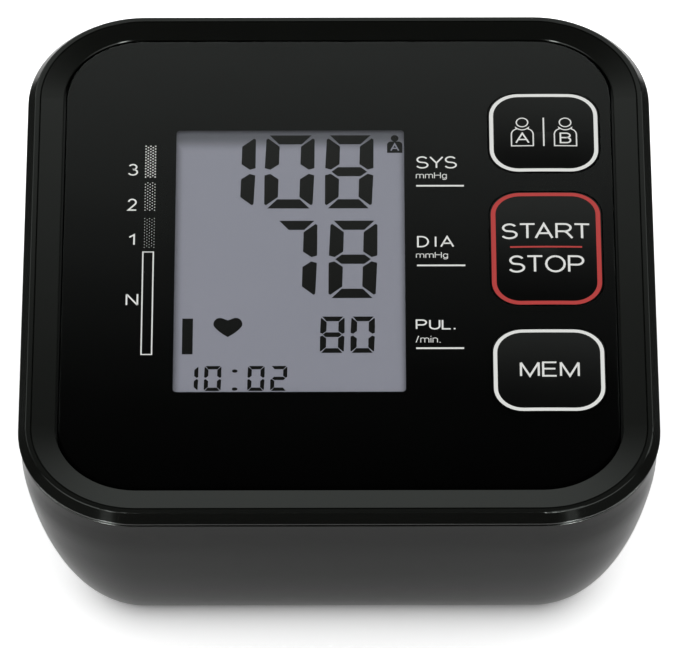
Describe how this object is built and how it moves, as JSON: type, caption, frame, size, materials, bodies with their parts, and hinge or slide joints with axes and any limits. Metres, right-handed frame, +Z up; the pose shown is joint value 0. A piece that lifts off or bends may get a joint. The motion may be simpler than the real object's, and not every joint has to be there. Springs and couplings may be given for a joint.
{
  "type": "blood pressure monitor console",
  "caption": "Table-top blood pressure monitor console: wedge-shaped black case, gloss panel with a display and press keys, air socket for the cuff hose.",
  "frame": {"origin": "centre of the bounding box's underside, on the table plane under the rubber feet", "axes": "+Z up, -Y towards the user (the low front edge), +X to the user's right (the keys' side)"},
  "size_m": [0.126, 0.1317, 0.0555],
  "materials": {
    "case_plastic": "satin moulded black ABS",
    "panel_plastic": "polished acrylic, printed black behind, clear over the display",
    "key_plastic": "polished black plastic key caps",
    "display_glass": "liquid crystal glass with a grey reflector behind it",
    "foam": "closed-cell foam tape",
    "white_plastic": "natural white moulding",
    "contact_rubber": "layered conductive silicone",
    "circuit_board": "green solder mask on glass-epoxy board",
    "black_resin": "moulded black component resin",
    "component_metal": "drawn metal can",
    "motor_steel": "zinc-plated motor can",
    "shaft_steel": "turned steel",
    "pump_plastic": "moulded off-white plastic",
    "soft_rubber": "soft black rubber",
    "tube_rubber": "translucent grey silicone tube",
    "socket_plastic": "moulded black plastic",
    "valve_steel": "pressed steel yoke",
    "foot_rubber": "matt black rubber",
    "screw_steel": "zinc-plated screws",
    "cell_jacket": "plain grey jacketed alkaline cell",
    "contact_nickel": "nickel-plated spring strip",
    "lead_jacket": "PVC-jacketed leads"
  },
  "bodies": {
    "console": {"lower_case": "case_plastic", "upper_case": "case_plastic", "front_lens": "panel_plastic", "display_glass": "display_glass", "lens_tape": "foam", "display_gasket": "foam", "display_holder": "white_plastic", "lead_plugs": "white_plastic", "display_strip_front": "contact_rubber", "display_strip_back": "contact_rubber", "main_board": "circuit_board", "controller_chip": "black_resin", "buzzer": "black_resin", "pressure_sensor": "black_resin", "user_switch": "black_resin", "start_stop_switch": "black_resin", "memory_switch": "black_resin", "crystal_can": "component_metal", "board_capacitors": "component_metal", "pump_motor": "motor_steel", "crank_case": "pump_plastic", "pump_cap": "pump_plastic", "air_block": "pump_plastic", "pump_sleeve": "soft_rubber", "pump_diaphragm": "soft_rubber", "pump_tube": "tube_rubber", "socket_tube": "tube_rubber", "valve_tube": "tube_rubber", "sensor_tube": "tube_rubber", "air_socket": "socket_plastic", "power_inlet": "socket_plastic", "release_valve": "valve_steel", "front_left_foot": "foot_rubber", "front_right_foot": "foot_rubber", "back_left_foot": "foot_rubber", "back_right_foot": "foot_rubber", "case_screws": "screw_steel", "board_screws": "screw_steel", "pump_screws": "screw_steel", "battery_cell_1": "cell_jacket", "battery_cell_2": "cell_jacket", "battery_cell_3": "cell_jacket", "battery_cell_4": "cell_jacket", "contact_plates": "contact_nickel", "contact_springs": "contact_nickel", "motor_leads": "lead_jacket", "battery_leads": "lead_jacket"},
    "user_key_body": {"user_key": "key_plastic", "user_plunger": "pump_plastic"},
    "start_stop_key_body": {"start_stop_key": "key_plastic", "start_stop_plunger": "pump_plastic"},
    "memory_key_body": {"memory_key": "key_plastic", "memory_plunger": "pump_plastic"},
    "door_body": {"battery_door": "case_plastic"},
    "crank_body": {"pump_crank": "shaft_steel"},
    "valve_plunger_body": {"valve_plunger": "shaft_steel"}
  },
  "joints": [
    {"name": "user_key_press", "type": "slide", "parent": "console", "child": "user_key_body", "axis": [0, 0.1219, -0.9925], "range_m": [0, 0.0006], "stiffness_N_per_m": 2500, "springref_m": -0.0001},
    {"name": "start_stop_key_press", "type": "slide", "parent": "console", "child": "start_stop_key_body", "axis": [0, 0.1219, -0.9925], "range_m": [0, 0.0006], "stiffness_N_per_m": 2500, "springref_m": -0.0001},
    {"name": "memory_key_press", "type": "slide", "parent": "console", "child": "memory_key_body", "axis": [0, 0.1219, -0.9925], "range_m": [0, 0.0006], "stiffness_N_per_m": 2500, "springref_m": -0.0001},
    {"name": "battery_door_swing", "type": "hinge", "parent": "console", "child": "door_body", "pos_m": [0.0145, 0.02975, 0.0015], "axis": [1, 0, 0], "range_deg": [0, 75]},
    {"name": "pump_crank_spin", "type": "hinge", "parent": "console", "child": "crank_body", "pos_m": [-0.0335, 0.008, 0.0185], "axis": [0, 1, 0], "continuous": true},
    {"name": "valve_plunger_stroke", "type": "slide", "parent": "console", "child": "valve_plunger_body", "axis": [1, 0, 0], "range_m": [0, 0.0008], "stiffness_N_per_m": 500, "springref_m": -0.0002}
  ]
}
